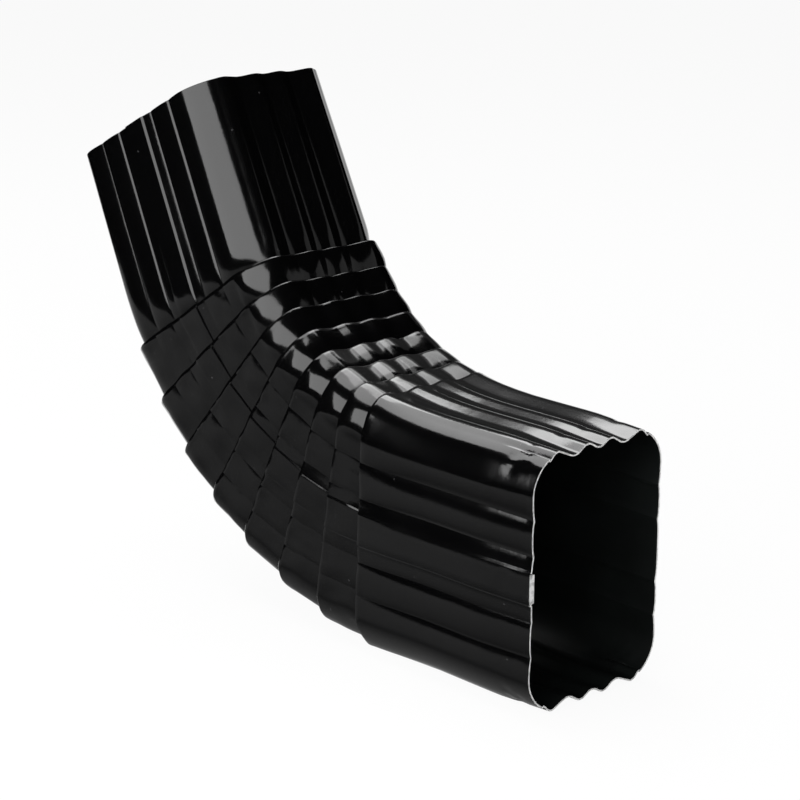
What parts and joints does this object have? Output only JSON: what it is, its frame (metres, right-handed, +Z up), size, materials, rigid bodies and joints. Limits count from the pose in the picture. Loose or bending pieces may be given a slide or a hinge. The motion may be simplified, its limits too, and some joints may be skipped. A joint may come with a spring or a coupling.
{
  "type": "downspout elbow",
  "caption": "Crimped rectangular downspout elbow in thin painted sheet, fluted and lock-seamed, that turns roof drainage water from a downpipe out along the ground.",
  "frame": {"origin": "centre of the outlet mouth, in the plane of its cut rim", "axes": "+X out of the outlet, +Z up from the heel of the bend to its throat, +Y away from the side with the lock seam"},
  "size_m": [0.2271, 0.0599, 0.175],
  "materials": {
    "painted_sheet": "gloss black"
  },
  "bodies": {
    "root": {"elbow": "painted_sheet"}
  },
  "joints": []
}
